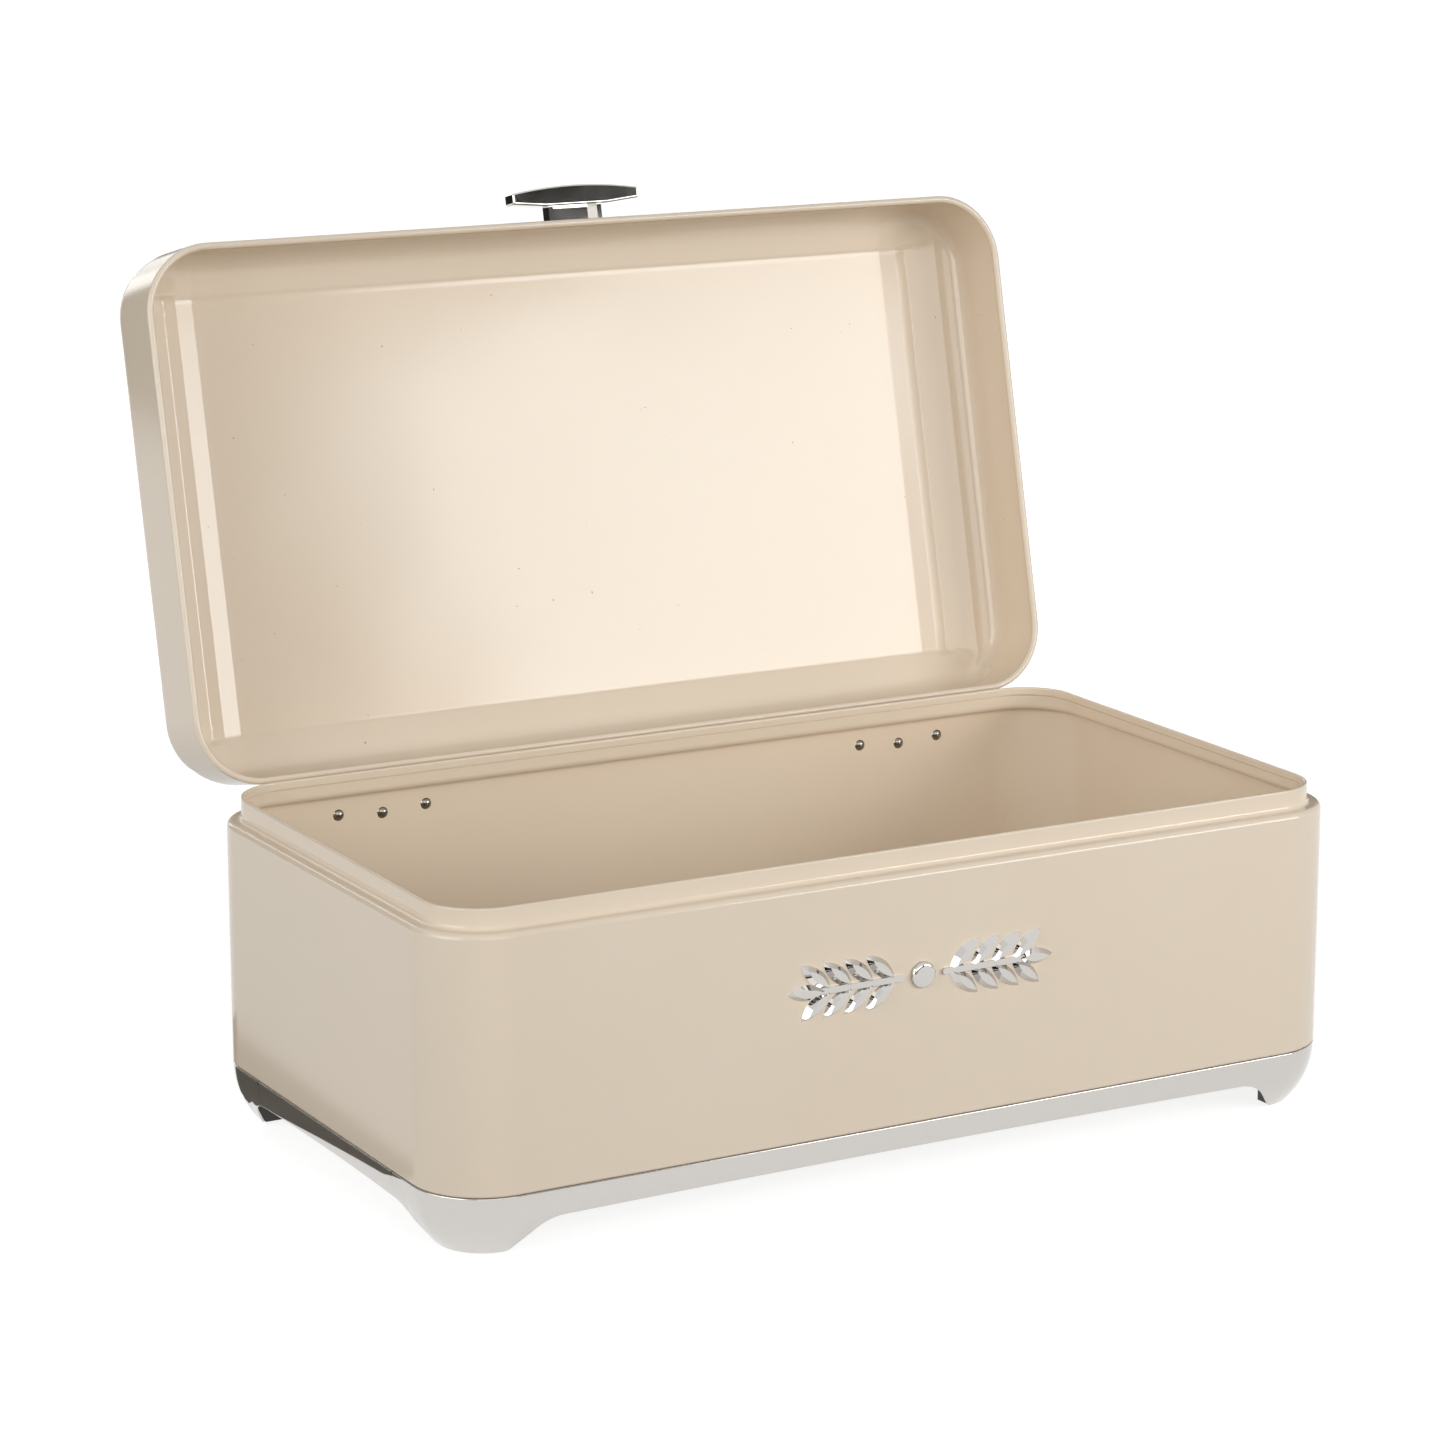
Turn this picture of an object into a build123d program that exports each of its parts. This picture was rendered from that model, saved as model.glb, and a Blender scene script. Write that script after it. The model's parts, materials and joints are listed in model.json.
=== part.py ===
from build123d import *
from math import cos, hypot, radians, sin, sqrt
import os

# A sheet-metal bread box on a plated plinth, with its hinged lid standing open.
# Millimetres. X runs along the box, -Y is the front, +Z is up. The origin is on the
# surface that the box stands on, under the middle of the body.

# Body
LENGTH = 420.0  # outside, along the front
DEPTH = 228.0  # outside, front to back
CORNER_R = 30.0  # upright corners, in plan
SHEET = 0.8  # pressed steel sheet
SEAM_Z = 26.0  # where the body sits on the plinth
SHOULDER_Z = 130.0  # ledge that the shut lid rests over
COLLAR_INSET = 6.0  # collar drawn in from the wall
COLLAR_H = 8.5  # collar above the shoulder
BODY_FOOT_R = 3.5  # bottom edge of the wall, tucked in
SHOULDER_R = 2.5  # outer edge of the shoulder
COLLAR_R = 2.0  # hollow at the foot of the collar
FLANGE_W = 15.0  # turned-in edges at the seam, seen from the outer wall
HEM_H = 2.9  # folded edge round the collar's mouth
HEM_EDGE_R = 0.7  # fold along the top of the hem

# Plinth
PLINTH_TOE_IN = 11.0  # how far the foot is drawn in at the bottom
PLINTH_R = 36.0  # radius of its curved face, in section
PLINTH_EDGE_R = 1.0  # upper edge under the body
TOE_LIFT = 0.4  # metal stops this far above the resting surface
ARCH_MARGIN = 30.0  # from the end of the box to where an arch reaches the bottom
ARCH_RISE = 14.3  # height of an arch where its flank starts
FRONT_ARCH_CROWN = 1.2  # extra height in the middle of a long arch
SIDE_ARCH_CROWN = 1.6  # extra height in the middle of a short arch
FLANK_RUN = 13.0  # sideways run of an arch's sloping flank
FLANK_R = 18.0  # bend between an arch and its flank
GLIDE_H = 7.0  # moulded glide inside each foot
GLIDE_W = 8.0  # thickness of the glide, inwards
GLUE = 0.1  # glue line between glide and foot
GLIDE_BACK = 2.0  # ends of a glide, kept back from the arches

# Lid
LID_H = 45.0  # rim to top
LID_GAP = 0.5  # shut rim above the shoulder
LID_BEND_R = 21.0  # front and rear bends into the top
LID_END_R = 10.6  # end bends into the lower terrace
TERRACE_LOW = 5.2  # lower terrace below the top, at the ends
TERRACE_HIGH = 1.0  # upper terrace below the top
SLOPE_LOW_W = 13.9  # slope up from the lower terrace
TREAD_W = 5.7  # flat of the upper terrace
SLOPE_HIGH_W = 7.8  # slope up to the top
RIM_BEAD_R = 1.5  # rolled edge inside the rim

# Handle, on the lid's front
BAR_LENGTH = 62.0
BAR_H = 8.4
BAR_END_T = 4.8  # thickness at the ends
BAR_MID_T = 8.9  # thickness in the middle
BAR_EDGE_R = 0.9
BAR_LOW = 10.0  # lower face above the rim
BAR_REACH = 7.2  # gap between the wall and the bar
BAR_TAPER = 1.5  # how far the bar's back falls away at its ends
BAR_FLAT_PAST = 2.0  # flat of the bar's back past the stem, each side
STEM_W = 26.0
STEM_H = 6.0
STEM_TOP = 18.4  # upper face above the rim
STEM_LEG = 2.2
STEM_WEB = 1.4

# Hinges
HINGE_IN = 81.1  # centre of each hinge from the end of the box
HINGE_W = 60.0
HINGE_RISE = 3.5  # axis above the shoulder
LEAF_T = 1.0
LEAF_BODY_H = 18.0  # leaf below the shoulder
LEAF_LID_H = 16.0  # leaf on the lid above the knuckles
LEAF_CORNER_R = 4.0
PIN_R = 1.9
PIN_FIT = 0.05  # running clearance round the pin
PIN_HEAD_R = 2.6
PIN_HEAD_H = 0.8
KNUCKLES = 5
KNUCKLE_GAP = 0.25  # between neighbouring knuckles
HINGE_CLEAR = 0.3  # between a knuckle and the walls it turns past
STOP_LIP = 4.4  # lip beyond the knuckle that stops the lid
STOP_GAP = 0.3  # lip to body leaf with the lid open
OPEN_ANGLE = 102.9

# Rivets
RIVET_R = 1.5
RIVET_FIT = 0.05
RIVET_HEAD_R = 2.5
RIVET_HEAD_H = 1.2
RIVET_PITCH = 20.45
RIVET_DOWN = 9.6  # outer rivets of a hinge below the shoulder
RIVET_STEP = 1.4  # middle rivet below the outer two
PLINTH_RIVET_PITCH = 150.0
PLINTH_RIVET_IN = 9.5  # plinth rivets from the outer wall

# Grain-ear ornament on the front
ORNAMENT_Z = 87.5
ORNAMENT_T = 2.4
EAR_START = 9.0  # inner end of each ear's stalk from the middle
STALK_L = 44.0
STALK_W = 2.6
STALK_T = 1.2
STALK_END_R = 1.2
GRAIN_L = 17.5
GRAIN_W = 6.6
GRAIN_START = 10.5  # first pair from the inner end of the stalk
GRAIN_PAIRS = 4
GRAIN_PITCH = 9.8
GRAIN_ANGLE = 40.0
STUD_R = 5.5
STUD_EDGE_R = 1.9
BEVEL = 36.0  # slope of the raised shapes' sides, in degrees from upright

# Places worked out from the sizes above
HINGE_X = LENGTH / 2 - HINGE_IN
RIM_Z = SHOULDER_Z + LID_GAP
COLLAR_Z = SHOULDER_Z + COLLAR_H
KNUCKLE_R = PIN_R + LEAF_T
HINGE_Y = DEPTH / 2 + KNUCKLE_R + HINGE_CLEAR
HINGE_Z = SHOULDER_Z + HINGE_RISE
HINGE_AXIS = Axis((0, HINGE_Y, HINGE_Z), (1, 0, 0))
FLOOR_Z = SEAM_Z + SHEET  # the floor lies on the wall's turned-in edge
FRONT = Plane.XZ.offset(DEPTH / 2)  # the front wall's outside, facing out
BACK = Plane.XZ.offset(-DEPTH / 2)  # the rear wall's outside, facing in

pieces = {}


def plan(inset):
    """Plan outline of the box, drawn in by the inset all round."""
    RectangleRounded(LENGTH - 2 * inset, DEPTH - 2 * inset, CORNER_R - inset)


def outline_path(z):
    """The outer wall's line at one height, from the middle of the front and round."""
    x = LENGTH / 2
    y = DEPTH / 2
    with BuildLine(Plane.XY.offset(z)) as path:
        FilletPolyline((0, -y), (x, -y), (x, y), (0, y), radius=CORNER_R)
        FilletPolyline((0, y), (-x, y), (-x, -y), (0, -y), radius=CORNER_R)
    return path.wire()


def section(inset, z):
    """A point of a wall's section at the middle of the front."""
    return (-DEPTH / 2 + inset, z)


def plinth_inset(z, within=0.0):
    """Inset of the plinth's curved face, or of a face within it, at one height."""
    chord = hypot(PLINTH_TOE_IN, SEAM_Z)
    to_centre = sqrt(PLINTH_R**2 - (chord / 2) ** 2)
    centre_in = PLINTH_TOE_IN / 2 + to_centre * SEAM_Z / chord
    centre_z = SEAM_Z / 2 + to_centre * PLINTH_TOE_IN / chord
    return centre_in - sqrt((PLINTH_R - within) ** 2 - (z - centre_z) ** 2)


def rivet(plane, low, high):
    """One set rivet, its axis along the plane's Y, its heads on the faces low and high."""
    top = (0, high + RIVET_HEAD_H)
    bottom = (0, low - RIVET_HEAD_H)
    with BuildSketch(plane) as profile:
        with BuildLine():
            Line(bottom, top)
            TangentArc(top, (RIVET_HEAD_R, high), tangent=(1, 0))
            Polyline((RIVET_HEAD_R, high), (RIVET_R, high), (RIVET_R, low), (RIVET_HEAD_R, low))
            TangentArc(bottom, (RIVET_HEAD_R, low), tangent=(1, 0))
        make_face()
    revolve(profile.sketch, axis=Axis(plane.origin, plane.y_dir))


def swing_open(piece):
    """A piece of the lid, drawn shut, turned about the hinge axis to where it rests."""
    return piece.rotate(HINGE_AXIS, -OPEN_ANGLE)


# Rivet places: on the rear wall from the middle of a hinge, and on the plinth in plan
hinge_rivets = [
    (-RIVET_PITCH, SHOULDER_Z - RIVET_DOWN),
    (0.0, SHOULDER_Z - RIVET_DOWN - RIVET_STEP),
    (RIVET_PITCH, SHOULDER_Z - RIVET_DOWN),
]
plinth_rivets_at = [
    (x * PLINTH_RIVET_PITCH, y * (DEPTH / 2 - PLINTH_RIVET_IN)) for x in (-1, 0, 1) for y in (-1, 1)
]

# Body wall: turned-in edge, wall, shoulder and hemmed collar, one sheet all round
with BuildPart() as body_wall:
    with BuildSketch(Plane.YZ):
        with BuildLine():
            FilletPolyline(
                section(FLANGE_W, SEAM_Z),
                section(0, SEAM_Z),
                section(0, SHOULDER_Z),
                section(COLLAR_INSET, SHOULDER_Z),
                section(COLLAR_INSET, COLLAR_Z),
                radius=(BODY_FOOT_R, SHOULDER_R, COLLAR_R),
            )
            offset(amount=SHEET, side=Side.RIGHT)
        make_face()
    sweep(path=outline_path(SEAM_Z))
    with BuildSketch(Plane.YZ):
        with Locations(section(COLLAR_INSET, COLLAR_Z)):
            Rectangle(2 * SHEET, HEM_H, align=(Align.MIN, Align.MAX))
        fillet(vertices().group_by(Axis.Y)[-1], HEM_EDGE_R)
    sweep(path=outline_path(SEAM_Z))
    for centre in (-HINGE_X, HINGE_X):
        for x, z in hinge_rivets:
            with BuildSketch(BACK):
                with Locations((centre + x, z)):
                    Circle(RIVET_R + RIVET_FIT)
            extrude(amount=SHEET + RIVET_FIT, both=True, mode=Mode.SUBTRACT)
    with BuildSketch(Plane.XY.offset(SEAM_Z)):
        with Locations(plinth_rivets_at):
            Circle(RIVET_R + RIVET_FIT)
    extrude(amount=SHEET, mode=Mode.SUBTRACT)
pieces["body_wall"] = body_wall.part

# Body floor, laid on the wall's turned-in edge
with BuildPart() as body_floor:
    with BuildSketch(Plane.XY.offset(FLOOR_Z)):
        plan(BODY_FOOT_R)
        with Locations(plinth_rivets_at):
            Circle(RIVET_R + RIVET_FIT, mode=Mode.SUBTRACT)
    extrude(amount=SHEET)
pieces["body_floor"] = body_floor.part


def arch(half_span, crown):
    """One arched cut-out of the plinth, as a face standing on the local X axis."""
    shoulder = (half_span - FLANK_RUN, ARCH_RISE)
    toe = (half_span, TOE_LIFT)
    below = (half_span, -SEAM_Z)
    with BuildLine() as line:
        ThreePointArc((-shoulder[0], ARCH_RISE), (0, ARCH_RISE + crown), shoulder)
        Polyline(shoulder, toe, below, (0, -SEAM_Z))
        mirror(line.edges().filter_by(GeomType.LINE), about=Plane.YZ)
    make_face(line.edges())
    fillet(vertices().filter_by(lambda v: abs(v.Y - ARCH_RISE) < TOE_LIFT), FLANK_R)


# Plinth: one curved skirt with a turned-in upper edge, arched on all four sides
with BuildPart() as plinth:
    with BuildSketch(Plane.YZ):
        with BuildLine():
            ThreePointArc(
                section(plinth_inset(TOE_LIFT), TOE_LIFT),
                section(plinth_inset(SEAM_Z / 2), SEAM_Z / 2),
                section(0, SEAM_Z),
            )
            Line(section(0, SEAM_Z), section(FLANGE_W, SEAM_Z))
            offset(amount=SHEET, side=Side.RIGHT)
        make_face()
        corner = vertices().group_by(Axis.Y)[-1].sort_by(Axis.X)[0]
        fillet(corner, PLINTH_EDGE_R)
    sweep(path=outline_path(SEAM_Z))
    with BuildSketch(Plane.XZ):
        arch(LENGTH / 2 - ARCH_MARGIN, FRONT_ARCH_CROWN)
    extrude(amount=DEPTH, both=True, mode=Mode.SUBTRACT)
    with BuildSketch(Plane.YZ):
        arch(DEPTH / 2 - ARCH_MARGIN, SIDE_ARCH_CROWN)
    extrude(amount=LENGTH, both=True, mode=Mode.SUBTRACT)
    with BuildSketch(Plane.XY.offset(SEAM_Z)):
        with Locations(plinth_rivets_at):
            Circle(RIVET_R + RIVET_FIT)
    extrude(amount=-SHEET, mode=Mode.SUBTRACT)
pieces["plinth"] = plinth.part

# Glides: moulded pads glued inside the four feet, a little below the metal
glide_face = SHEET + GLUE
for front_back, y_side in (("front", -1), ("back", 1)):
    for left_right, x_side in (("left", -1), ("right", 1)):
        with BuildPart() as glide:
            with BuildSketch(Plane.YZ):
                with BuildLine():
                    ThreePointArc(
                        section(plinth_inset(0, glide_face), 0),
                        section(plinth_inset(GLIDE_H / 2, glide_face), GLIDE_H / 2),
                        section(plinth_inset(GLIDE_H, glide_face), GLIDE_H),
                    )
                    Polyline(
                        section(plinth_inset(GLIDE_H, glide_face), GLIDE_H),
                        section(plinth_inset(0, glide_face) + GLIDE_W, GLIDE_H),
                        section(plinth_inset(0, glide_face) + GLIDE_W, 0),
                        section(plinth_inset(0, glide_face), 0),
                    )
                make_face()
            sweep(path=outline_path(0))
            with BuildSketch():
                with Locations((x_side * LENGTH / 2, y_side * DEPTH / 2)):
                    reach = ARCH_MARGIN - GLIDE_BACK
                    Rectangle(2 * reach, 2 * reach)
            extrude(amount=GLIDE_H, mode=Mode.INTERSECT)
        pieces[f"foot_glide_{front_back}_{left_right}"] = glide.part

# Rivets that hold plinth, wall and floor together
with BuildPart() as plinth_rivets:
    for x, y in plinth_rivets_at:
        rivet(Plane((x, y, 0), x_dir=(1, 0, 0), z_dir=(0, -1, 0)), SEAM_Z - SHEET, FLOOR_Z + SHEET)
pieces["plinth_rivets"] = plinth_rivets.part


def lid_bend(height, skin):
    """Inset of the front and rear bends at one height above the rim."""
    radius = LID_BEND_R - skin
    above = height - (LID_H - LID_BEND_R)
    if above <= 0:
        return skin
    return skin + radius - sqrt(max(radius**2 - above**2, 0))


def lid_ring(end_inset, height, skin):
    """One rounded-rectangle ring of the lid's skin, drawn at its height above the rim."""
    side_inset = lid_bend(height, skin)
    with BuildSketch(Plane.XY.offset(RIM_Z + height)) as ring:
        width = LENGTH - 2 * end_inset
        RectangleRounded(width, DEPTH - 2 * side_inset, CORNER_R - side_inset)
    return ring.sketch


def lid_block(skin):
    """The lid as a solid block, or, one sheet in, the hollow inside it."""
    top = LID_H - skin
    low = top - TERRACE_LOW
    high = top - TERRACE_HIGH
    end_r = LID_END_R - skin
    bend_start = LID_H - LID_BEND_R
    # upright wall up to where the front and rear bends start
    loft([lid_ring(skin, 0, skin), lid_ring(skin, bend_start, skin)])
    # the bends at the front, the rear and the ends, up to the lower terrace
    rings = [lid_ring(skin, bend_start, skin)]
    for turn in (0, 18, 36, 54, 72, 90):
        angle = radians(turn)
        inset = skin + end_r * (1 - cos(angle))
        rings.append(lid_ring(inset, low - end_r * (1 - sin(angle)), skin))
    loft(rings)
    # lower slope
    foot = skin + end_r
    rings = []
    for share in (0, 1 / 3, 2 / 3, 1):
        rings.append(lid_ring(foot + SLOPE_LOW_W * share, low + (high - low) * share, skin))
    loft(rings, ruled=True)
    # upper slope, set in by the flat of the upper terrace
    foot = foot + SLOPE_LOW_W + TREAD_W
    rings = []
    for share in (0, 1 / 2, 1):
        rings.append(lid_ring(foot + SLOPE_HIGH_W * share, high + (top - high) * share, skin))
    loft(rings, ruled=True)


# Lid shell: one pressed sheet with a rolled rim, drawn shut
with BuildPart() as lid_hollow:
    lid_block(SHEET)

with BuildPart() as lid_shell:
    lid_block(0)
    add(lid_hollow.part, mode=Mode.SUBTRACT)
    with BuildSketch(Plane.YZ):
        with Locations(section(RIM_BEAD_R, RIM_Z + RIM_BEAD_R)):
            Circle(RIM_BEAD_R)
    sweep(path=outline_path(RIM_Z))
pieces["lid_shell"] = swing_open(lid_shell.part)

# Handle: a lens-shaped bar on a folded channel
bar_back = -DEPTH / 2 - BAR_REACH
bar_tip = BAR_LENGTH / 2
bar_flat = STEM_W / 2 + BAR_FLAT_PAST
with BuildPart() as handle_bar:
    with BuildSketch(Plane.XY.offset(RIM_Z + BAR_LOW)):
        with BuildLine():
            tip_back = bar_back - BAR_TAPER
            tip_front = tip_back - BAR_END_T
            ThreePointArc((-bar_tip, tip_front), (0, bar_back - BAR_MID_T), (bar_tip, tip_front))
            Polyline((bar_tip, tip_front), (bar_tip, tip_back), (bar_flat, bar_back))
            Polyline((bar_flat, bar_back), (-bar_flat, bar_back))
            Polyline((-bar_flat, bar_back), (-bar_tip, tip_back), (-bar_tip, tip_front))
        make_face()
        fillet(vertices().group_by(Axis.X)[0], BAR_EDGE_R)
        fillet(vertices().group_by(Axis.X)[-1], BAR_EDGE_R)
    extrude(amount=BAR_H)
    fillet(faces().filter_by(Axis.Z).edges(), BAR_EDGE_R)
pieces["handle_bar"] = swing_open(handle_bar.part)

with BuildPart() as handle_stem:
    with BuildSketch(FRONT):
        with Locations((0, RIM_Z + STEM_TOP)):
            Rectangle(STEM_W, STEM_H, align=(Align.CENTER, Align.MAX))
        with Locations((0, RIM_Z + STEM_TOP - STEM_WEB)):
            Rectangle(STEM_W - 2 * STEM_LEG, STEM_H, align=(Align.CENTER, Align.MAX), mode=Mode.SUBTRACT)
    extrude(amount=BAR_REACH)
pieces["handle_stem"] = swing_open(handle_stem.part)


def knuckle_spans(first):
    """Start and end of every second knuckle across a hinge, from the first or the second."""
    pitch = HINGE_W / KNUCKLES
    for index in range(first, KNUCKLES, 2):
        start = -HINGE_W / 2 + index * pitch
        yield start + KNUCKLE_GAP / 2, start + pitch - KNUCKLE_GAP / 2


def knuckle(x, start, end):
    """One knuckle of the hinge at x, round the hinge axis."""
    with BuildSketch(Plane.YZ.offset(x + start)) as round_end:
        with Locations((HINGE_Y, HINGE_Z)):
            Circle(KNUCKLE_R)
    extrude(round_end.sketch, amount=end - start)


def notch(x, start, end):
    """Room in a leaf for a knuckle of the other leaf."""
    room = KNUCKLE_R + HINGE_CLEAR
    with BuildSketch(BACK) as gap:
        with Locations((x + (start + end) / 2, HINGE_Z)):
            Rectangle(end - start + 2 * KNUCKLE_GAP, 2 * room)
    extrude(gap.sketch, amount=-LEAF_T, mode=Mode.SUBTRACT)


def pin_bore(x):
    """The bore for the pin through every knuckle of one leaf."""
    with BuildSketch(Plane.YZ.offset(x - HINGE_W)) as bore:
        with Locations((HINGE_Y, HINGE_Z)):
            Circle(PIN_R + PIN_FIT)
    extrude(bore.sketch, amount=2 * HINGE_W, mode=Mode.SUBTRACT)


def leaf_plate(x, low, high):
    """A leaf's flat plate on the back, with its two free corners rounded."""
    with BuildSketch(BACK) as plate:
        with Locations((x, low)):
            Rectangle(HINGE_W, high - low, align=(Align.CENTER, Align.MIN))
        free = [v for v in vertices() if abs(v.Y - HINGE_Z) > LEAF_T]
        fillet(free, LEAF_CORNER_R)
    extrude(plate.sketch, amount=-LEAF_T)


for side, centre in (("left", -HINGE_X), ("right", HINGE_X)):
    # leaf on the body, with the outer and middle knuckles
    with BuildPart() as body_leaf:
        leaf_plate(centre, SHOULDER_Z - LEAF_BODY_H, HINGE_Z)
        for start, end in knuckle_spans(1):
            notch(centre, start, end)
        for start, end in knuckle_spans(0):
            knuckle(centre, start, end)
        pin_bore(centre)
        with BuildSketch(BACK):
            with Locations([(centre + x, z) for x, z in hinge_rivets]):
                Circle(RIVET_R + RIVET_FIT)
        extrude(amount=-LEAF_T, mode=Mode.SUBTRACT)
    pieces[f"hinge_{side}_body_leaf"] = body_leaf.part

    # leaf on the lid, with the two knuckles between and the lips that stop the lid
    with BuildPart() as lid_leaf:
        leaf_plate(centre, HINGE_Z, HINGE_Z + KNUCKLE_R + LEAF_LID_H)
        for start, end in knuckle_spans(0):
            notch(centre, start, end)
        for start, end in knuckle_spans(1):
            knuckle(centre, start, end)
            lip_y = KNUCKLE_R + HINGE_CLEAR - LEAF_T - STOP_GAP
            across = (0, cos(radians(OPEN_ANGLE)), sin(radians(OPEN_ANGLE)))
            with BuildSketch(Plane((centre + start, HINGE_Y, HINGE_Z), x_dir=across, z_dir=(1, 0, 0))):
                with Locations((-lip_y, 0)):
                    Rectangle(LEAF_T, KNUCKLE_R + STOP_LIP, align=(Align.MIN, Align.MAX))
            extrude(amount=end - start)
        pin_bore(centre)
    pieces[f"hinge_{side}_lid_leaf"] = swing_open(lid_leaf.part)

    # pin through all the knuckles, headed at both ends
    with BuildPart() as hinge_pin:
        with BuildSketch(Plane.YZ.offset(centre - HINGE_W / 2 - KNUCKLE_GAP)):
            with Locations((HINGE_Y, HINGE_Z)):
                Circle(PIN_R)
        extrude(amount=HINGE_W + 2 * KNUCKLE_GAP)
        for face in (faces().sort_by(Axis.X)[0], faces().sort_by(Axis.X)[-1]):
            with BuildSketch(face):
                Circle(PIN_HEAD_R)
            extrude(amount=PIN_HEAD_H)
        ends = [faces().sort_by(Axis.X)[0], faces().sort_by(Axis.X)[-1]]
        fillet([edge for face in ends for edge in face.edges()], PIN_HEAD_H / 2)
    pieces[f"hinge_{side}_pin"] = hinge_pin.part

    # rivets through the wall and the body leaf
    with BuildPart() as leaf_rivets:
        for x, z in hinge_rivets:
            rivet(Plane((centre + x, 0, z)), DEPTH / 2 - SHEET, DEPTH / 2 + LEAF_T)
    pieces[f"hinge_{side}_rivets"] = leaf_rivets.part


def grain(x, z, angle):
    """One bevelled grain on the front, its long axis turned by the angle."""
    along = (cos(radians(angle)), 0, sin(radians(angle)))
    with BuildSketch(Plane((x, -DEPTH / 2, z), x_dir=along, z_dir=FRONT.z_dir)) as seed:
        with BuildLine():
            tip = GRAIN_L / 2
            ThreePointArc((-tip, 0), (0, GRAIN_W / 2), (tip, 0))
            ThreePointArc((tip, 0), (0, -GRAIN_W / 2), (-tip, 0))
        make_face()
    extrude(seed.sketch, amount=ORNAMENT_T, taper=BEVEL)


for side, way in (("left", -1), ("right", 1)):
    with BuildPart() as ear:
        with BuildSketch(FRONT):
            with Locations((way * (EAR_START + STALK_L / 2), ORNAMENT_Z)):
                RectangleRounded(STALK_L, STALK_W, STALK_END_R)
        extrude(amount=STALK_T)
        for pair in range(GRAIN_PAIRS):
            across = GRAIN_L / 2 * sin(radians(GRAIN_ANGLE))
            x = way * (EAR_START + GRAIN_START + pair * GRAIN_PITCH)
            grain(x, ORNAMENT_Z + across, way * GRAIN_ANGLE)
            grain(x, ORNAMENT_Z - across, -way * GRAIN_ANGLE)
        grain(way * (EAR_START + STALK_L), ORNAMENT_Z, 0)
    pieces[f"ornament_{side}_ear"] = ear.part

with BuildPart() as stud:
    with BuildSketch(FRONT):
        with Locations((0, ORNAMENT_Z)):
            Circle(STUD_R)
    extrude(amount=ORNAMENT_T)
    fillet(faces().sort_by(Axis.Y)[0].edges(), STUD_EDGE_R)
pieces["ornament_stud"] = stud.part

for name, piece in pieces.items():
    piece.label = name
    export_step(piece, f"parts/{name}.step")
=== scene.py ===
import json
import math

import bmesh
import bpy
from mathutils import Euler, Matrix, Vector


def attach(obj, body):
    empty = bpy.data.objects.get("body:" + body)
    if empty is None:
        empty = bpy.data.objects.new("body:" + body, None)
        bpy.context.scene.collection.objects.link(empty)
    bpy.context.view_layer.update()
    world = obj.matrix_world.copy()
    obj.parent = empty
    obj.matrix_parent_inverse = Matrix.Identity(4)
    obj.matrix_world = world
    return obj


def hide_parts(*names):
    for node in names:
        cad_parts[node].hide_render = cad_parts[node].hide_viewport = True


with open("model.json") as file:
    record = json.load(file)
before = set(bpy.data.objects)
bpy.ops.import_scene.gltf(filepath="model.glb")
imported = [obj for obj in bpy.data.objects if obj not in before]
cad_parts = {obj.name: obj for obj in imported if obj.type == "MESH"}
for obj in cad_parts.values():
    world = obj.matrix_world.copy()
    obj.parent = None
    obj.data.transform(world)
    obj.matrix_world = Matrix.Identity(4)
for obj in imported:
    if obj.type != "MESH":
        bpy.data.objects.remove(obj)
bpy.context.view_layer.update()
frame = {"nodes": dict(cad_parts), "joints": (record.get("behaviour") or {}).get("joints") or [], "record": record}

MM = 0.001


# The body, in millimetres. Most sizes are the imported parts' own. The foot is sharper than theirs,
# and the hem's seam and the raised rear collar are drawn here alone.
LENGTH = 420.0
DEPTH = 228.0
CORNER_R = 30.0
SHEET = 0.8
SEAM_Z = 26.0
SHOULDER_Z = 130.0
COLLAR_INSET = 6.0
COLLAR_TOP_Z = 138.5
FOOT_R = 1.2
SHOULDER_R = 2.5
COLLAR_R = 2.0
FLANGE_W = 15.0
HEM_H = 2.9
HEM_FOLD_R = 0.75
HEM_SEAM = 0.6  # height of the groove under the hem
SEAM_CREASE_R = 0.1
REAR_RISE = 1.4  # closes the light line between the rear collar and the open lid's rim

# The plinth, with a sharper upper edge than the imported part's
PLINTH_TOE_IN = 11.0
PLINTH_R = 36.0
PLINTH_EDGE_R = 0.4
TOE_LIFT = 0.4
TOE_R = 4.0
ARCH_MARGIN = 30.0
ARCH_RISE = 14.3
FRONT_ARCH_CROWN = 1.2
SIDE_ARCH_CROWN = 1.6
FLANK_RUN = 13.0
FLANK_R = 18.0
TOE_TURNS = range(9, 82, 8)  # degrees round a foot's corner at which it has a column
CORNER_NEAR = 0.05  # a column this near the corner is the corner's

# The lid, from its rim up: its bends are creased flat bands, as in the photograph, where the
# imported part's are round
RIM_Z = 130.5
LID_H = 45.0
SIDE_BEND_R = 14.0
CREASE_IN = 20.0  # crease of the front and rear bands, from the wall
CREASE_R = 11.0
BAND_SLOPE = math.tan(math.radians(20))
RIB_FADE = 3.0  # run in which the terraces end at a crease
ROUND_FALL = 2.2  # how fast the corner rounds of the top tighten inwards
SQUARE_R = 2.0  # tightest of them
LEAF_FIT = 0.06  # outer skin held in from the hinge leaves
RIM_BEAD_R = 1.5
BEAD_START = 118  # degrees round the rolled rim, from its right
BEAD_TURN = 298
TERRACE_LOW = 5.2
TERRACE_HIGH = 1.0
TERRACE_RADII = (1.5, 3.0, 3.0, 6.0)  # bends of the terraces, from the end inwards
END_BEND_R = 8.8
LOW_TREAD_END = 10.5
LOW_SLOPE_END = 24.4
HIGH_TREAD_END = 30.1
HIGH_SLOPE_END = 37.9
TOP_RUN = 8  # flat of the top past the last bend

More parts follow.
